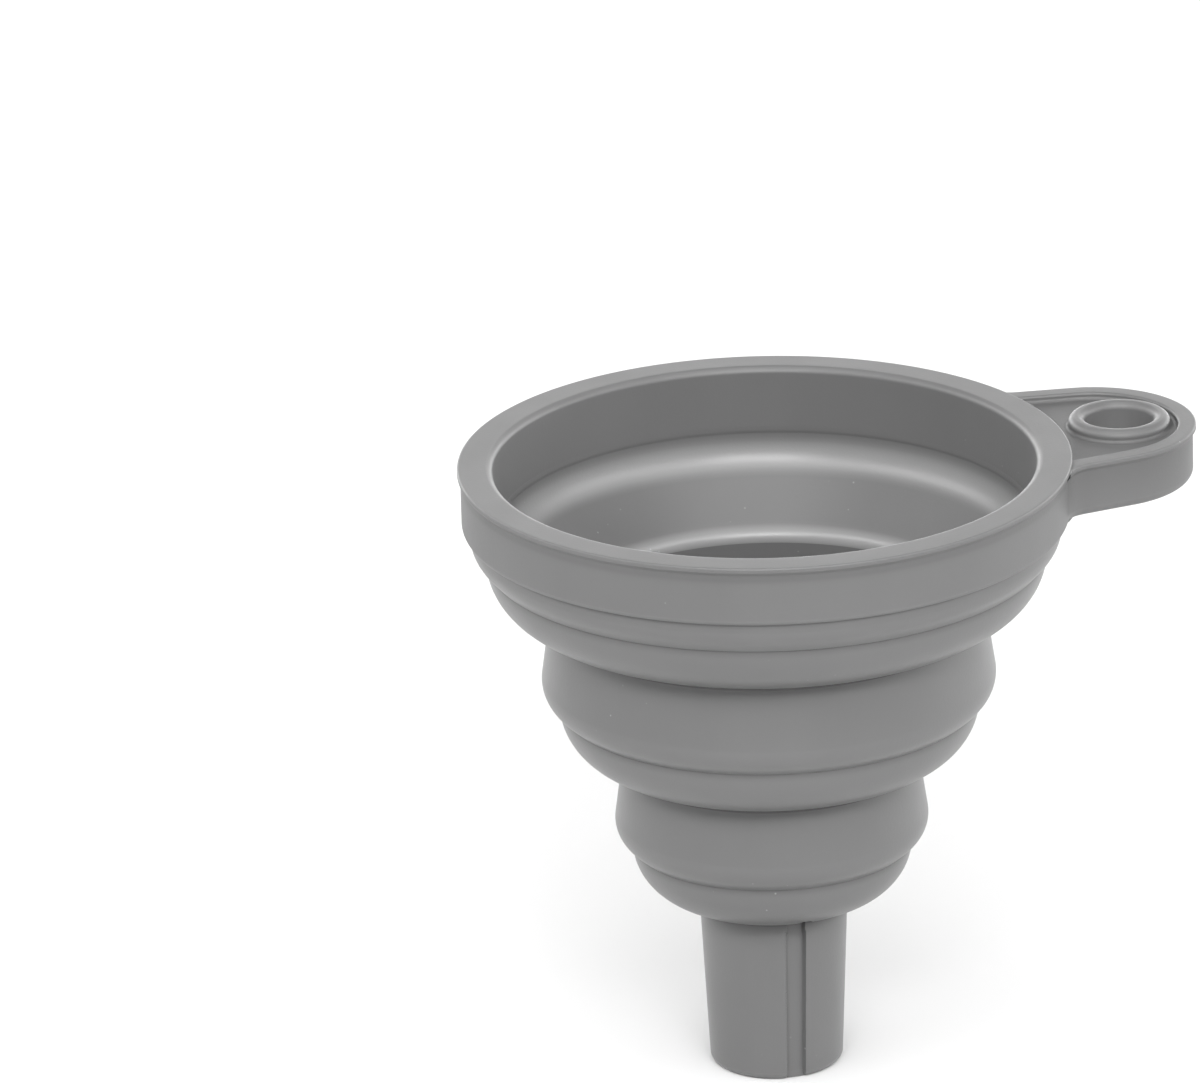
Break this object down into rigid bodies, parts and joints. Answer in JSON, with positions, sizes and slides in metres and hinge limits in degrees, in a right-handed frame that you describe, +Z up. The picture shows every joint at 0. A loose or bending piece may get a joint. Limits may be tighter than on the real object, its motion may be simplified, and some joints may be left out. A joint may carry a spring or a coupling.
{
  "type": "collapsible funnel",
  "caption": "Collapsible silicone funnel whose stepped rings push up into a flat disc, with a straight spout and a hanging tab with an eyelet.",
  "frame": {"origin": "centre of the outlet at the tip of the spout", "axes": "+Z up along the funnel's axis towards the mouth, +X along the hanging tab"},
  "size_m": [0.0941, 0.0764, 0.08],
  "materials": {
    "silicone": "soft matte silicone"
  },
  "bodies": {
    "spout": {"spout": "silicone"},
    "lower_ring": {"lower_ring": "silicone", "lower_fold": "silicone"},
    "middle_ring": {"middle_ring": "silicone", "middle_fold": "silicone"},
    "rim": {"rim_collar": "silicone", "bowl_wall": "silicone", "upper_fold": "silicone", "hanging_tab": "silicone", "hanging_eyelet": "silicone"}
  },
  "joints": [
    {"name": "lower_fold_slide", "type": "slide", "parent": "spout", "child": "lower_ring", "axis": [0, 0, -1], "range_m": [0, 0.0146], "deforming": ["lower_fold"]},
    {"name": "middle_fold_slide", "type": "slide", "parent": "lower_ring", "child": "middle_ring", "axis": [0, 0, -1], "range_m": [0, 0.0146], "deforming": ["middle_fold"]},
    {"name": "upper_fold_slide", "type": "slide", "parent": "middle_ring", "child": "rim", "axis": [0, 0, -1], "range_m": [0, 0.0146], "deforming": ["upper_fold"]}
  ]
}
